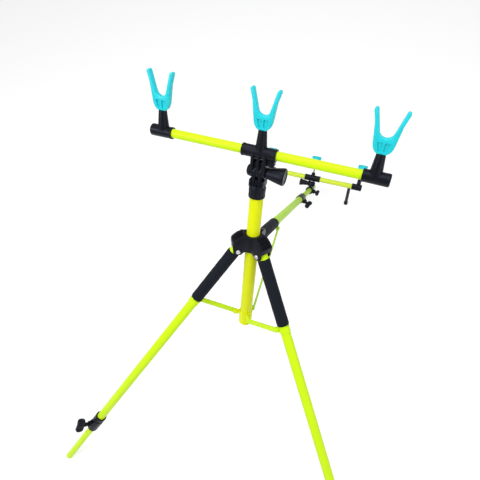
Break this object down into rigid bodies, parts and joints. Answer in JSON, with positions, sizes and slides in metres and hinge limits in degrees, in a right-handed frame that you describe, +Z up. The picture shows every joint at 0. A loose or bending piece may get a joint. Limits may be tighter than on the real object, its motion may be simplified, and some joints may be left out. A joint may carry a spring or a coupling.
{
  "type": "fishing rod tripod",
  "caption": "Leaning fishing-rod tripod with folding telescopic legs, a tilting head with a bar of V rests, and a low rear bar of butt cups on the back leg.",
  "frame": {"origin": "centre of the bounding box, at floor height", "axes": "+Z up, +Y towards the rear leg, +X to the right of someone who stands in front"},
  "size_m": [0.9212, 1.2948, 0.9331],
  "materials": {
    "lime_paint": "smooth gloss lime powder coat over drawn tube",
    "black_plastic": "satin moulded nylon",
    "grip_foam": "fine matte foam sleeve",
    "cyan_plastic": "soft semi-matte moulding",
    "steel": "bright zinc plate",
    "rubber": "matte rubber"
  },
  "bodies": {
    "hub": {"hub": "black_plastic", "hub_bush": "black_plastic", "leg_pin_left": "steel", "leg_pin_right": "steel", "leg_pin_rear": "steel"},
    "lock_knob": {"column_lock_knob": "black_plastic"},
    "column": {"column_tube": "lime_paint", "stay_cup": "lime_paint", "head_base": "black_plastic"},
    "head_knob": {"head_bolt": "steel", "head_knob": "black_plastic"},
    "bar": {"head_top": "black_plastic", "head_cap": "black_plastic", "bar_tube": "lime_paint", "bar_end_left": "black_plastic", "bar_end_right": "black_plastic"},
    "v_rest_left": {"v_rest_left": "cyan_plastic"},
    "v_rest_middle": {"v_rest_middle": "cyan_plastic"},
    "v_rest_right": {"v_rest_right": "cyan_plastic"},
    "leg_left": {"leg_tube_left": "lime_paint", "leg_grip_left": "grip_foam", "leg_collar_left": "black_plastic", "stay_clip_left": "lime_paint"},
    "shank_left": {"shank_left": "lime_paint", "foot_tip_left": "lime_paint"},
    "leg_screw_left": {"leg_screw_left": "black_plastic"},
    "stay_left": {"stay_left": "lime_paint"},
    "leg_right": {"leg_tube_right": "lime_paint", "leg_grip_right": "grip_foam", "leg_collar_right": "black_plastic", "stay_clip_right": "lime_paint"},
    "shank_right": {"shank_right": "lime_paint", "foot_tip_right": "lime_paint"},
    "leg_screw_right": {"leg_screw_right": "black_plastic"},
    "stay_right": {"stay_right": "lime_paint"},
    "leg_rear": {"leg_tube_rear": "lime_paint", "leg_grip_rear": "grip_foam", "leg_collar_rear": "black_plastic", "stay_clip_rear": "lime_paint"},
    "shank_rear": {"shank_rear": "lime_paint", "foot_tip_rear": "lime_paint"},
    "leg_screw_rear": {"leg_screw_rear": "black_plastic"},
    "stay_rear": {"stay_rear": "lime_paint"},
    "rear_clamp": {"rear_clamp": "black_plastic"},
    "rear_screw": {"rear_clamp_screw": "black_plastic"},
    "rear_knob": {"rear_tilt_knob": "black_plastic"},
    "rear_bar": {"rear_sleeve": "black_plastic", "rear_bar_tube": "lime_paint", "rear_end_left": "black_plastic", "rear_end_right": "black_plastic", "rear_stud": "steel", "prop": "black_plastic", "prop_tip": "rubber"},
    "butt_cup_left": {"butt_cup_left": "cyan_plastic"},
    "butt_cup_middle": {"butt_cup_middle": "cyan_plastic"},
    "butt_cup_right": {"butt_cup_right": "cyan_plastic"}
  },
  "joints": [
    {"name": "column_slide", "type": "slide", "parent": "hub", "child": "column", "axis": [0, -0.3962, -0.9181], "range_m": [0, 0.0735]},
    {"name": "lock_knob_turn", "type": "hinge", "parent": "hub", "child": "lock_knob", "pos_m": [0, -0.08525, 0.63176], "axis": [-0.866, 0.4591, -0.1981], "continuous": true},
    {"name": "head_knob_turn", "type": "hinge", "parent": "column", "child": "head_knob", "pos_m": [0, -0.01987, 0.78325], "axis": [0.999, -0.04, 0.0173], "continuous": true},
    {"name": "head_tilt", "type": "hinge", "parent": "column", "child": "bar", "pos_m": [0, -0.01987, 0.78325], "axis": [0.999, -0.04, 0.0173], "range_deg": [-75, 75]},
    {"name": "v_rest_left_swivel", "type": "hinge", "parent": "bar", "child": "v_rest_left", "pos_m": [-0.2108, 0.02132, 0.85544], "axis": [0, 0.3962, 0.9181], "continuous": true},
    {"name": "v_rest_middle_swivel", "type": "hinge", "parent": "bar", "child": "v_rest_middle", "pos_m": [0, 0.01286, 0.85909], "axis": [0, 0.3962, 0.9181], "continuous": true},
    {"name": "v_rest_right_swivel", "type": "hinge", "parent": "bar", "child": "v_rest_right", "pos_m": [0.2108, 0.00441, 0.86274], "axis": [0, 0.3962, 0.9181], "continuous": true},
    {"name": "leg_left_fold", "type": "hinge", "parent": "hub", "child": "leg_left", "pos_m": [-0.02901, -0.10736, 0.62279], "axis": [0.5, -0.7951, 0.3432], "range_deg": [0, 29.09]},
    {"name": "stay_left_swing", "type": "hinge", "parent": "leg_left", "child": "stay_left", "pos_m": [-0.1, -0.20742, 0.49437], "axis": [0.5, -0.7951, 0.3432], "range_deg": [-88.23, 0]},
    {"name": "shank_left_slide", "type": "slide", "parent": "leg_left", "child": "shank_left", "axis": [-0.4615, -0.5799, -0.6714], "range_m": [-0.15, 0.25]},
    {"name": "leg_screw_left_turn", "type": "hinge", "parent": "leg_left", "child": "leg_screw_left", "pos_m": [-0.36359, -0.52781, 0.13606], "axis": [-0.5176, -0.4386, 0.7347], "continuous": true},
    {"name": "leg_right_fold", "type": "hinge", "parent": "hub", "child": "leg_right", "pos_m": [0.02901, -0.10736, 0.62279], "axis": [0.5, 0.7951, -0.3432], "range_deg": [0, 29.09]},
    {"name": "stay_right_swing", "type": "hinge", "parent": "leg_right", "child": "stay_right", "pos_m": [0.1, -0.20742, 0.49437], "axis": [0.5, 0.7951, -0.3432], "range_deg": [-88.23, 0]},
    {"name": "shank_right_slide", "type": "slide", "parent": "leg_right", "child": "shank_right", "axis": [0.4615, -0.5799, -0.6714], "range_m": [-0.15, 0.25]},
    {"name": "leg_screw_right_turn", "type": "hinge", "parent": "leg_right", "child": "leg_screw_right", "pos_m": [0.36359, -0.52781, 0.13606], "axis": [0.8596, 0.1053, 0.4999], "continuous": true},
    {"name": "leg_rear_fold", "type": "hinge", "parent": "hub", "child": "leg_rear", "pos_m": [0, -0.06122, 0.60288], "axis": [-1, 0, 0], "range_deg": [0, 69.4]},
    {"name": "stay_rear_swing", "type": "hinge", "parent": "leg_rear", "child": "stay_rear", "pos_m": [0, 0.06291, 0.47585], "axis": [-1, 0, 0], "range_deg": [-123.59, 0]},
    {"name": "shank_rear_slide", "type": "slide", "parent": "leg_rear", "child": "shank_rear", "axis": [0, 0.7554, -0.6553], "range_m": [-0.085, 0.1]},
    {"name": "leg_screw_rear_turn", "type": "hinge", "parent": "leg_rear", "child": "leg_screw_rear", "pos_m": [0, 0.38368, 0.21689], "axis": [0.866, -0.3277, -0.3777], "continuous": true},
    {"name": "rear_clamp_slide", "type": "slide", "parent": "shank_rear", "child": "rear_clamp", "axis": [0, 0.7554, -0.6553], "range_m": [-0.07, 0.05]},
    {"name": "rear_screw_turn", "type": "hinge", "parent": "rear_clamp", "child": "rear_screw", "pos_m": [0, 0.54381, 0.07796], "axis": [0.9848, -0.1138, -0.1312], "continuous": true},
    {"name": "rear_knob_turn", "type": "hinge", "parent": "rear_clamp", "child": "rear_knob", "pos_m": [0, 0.56085, 0.0976], "axis": [1, 0, 0], "continuous": true},
    {"name": "rear_bar_tilt", "type": "hinge", "parent": "rear_clamp", "child": "rear_bar", "pos_m": [0, 0.56085, 0.0976], "axis": [1, 0, 0], "range_deg": [-60, 60]},
    {"name": "butt_cup_left_swivel", "type": "hinge", "parent": "rear_bar", "child": "butt_cup_left", "pos_m": [-0.1835, 0.60515, 0.14866], "axis": [0, 0.6553, 0.7554], "continuous": true},
    {"name": "butt_cup_middle_swivel", "type": "hinge", "parent": "rear_bar", "child": "butt_cup_middle", "pos_m": [0, 0.60515, 0.14866], "axis": [0, 0.6553, 0.7554], "continuous": true},
    {"name": "butt_cup_right_swivel", "type": "hinge", "parent": "rear_bar", "child": "butt_cup_right", "pos_m": [0.1835, 0.60515, 0.14866], "axis": [0, 0.6553, 0.7554], "continuous": true}
  ],
  "couplings": [
    {"joint": "leg_left_fold", "follows": "column_slide", "rad_per_m": 6.8958},
    {"joint": "stay_left_swing", "follows": "column_slide", "rad_per_m": -20.938},
    {"joint": "leg_right_fold", "follows": "column_slide", "rad_per_m": 6.8958},
    {"joint": "stay_right_swing", "follows": "column_slide", "rad_per_m": -20.938},
    {"joint": "stay_rear_swing", "follows": "leg_rear_fold", "ratio": -1.7801}
  ]
}
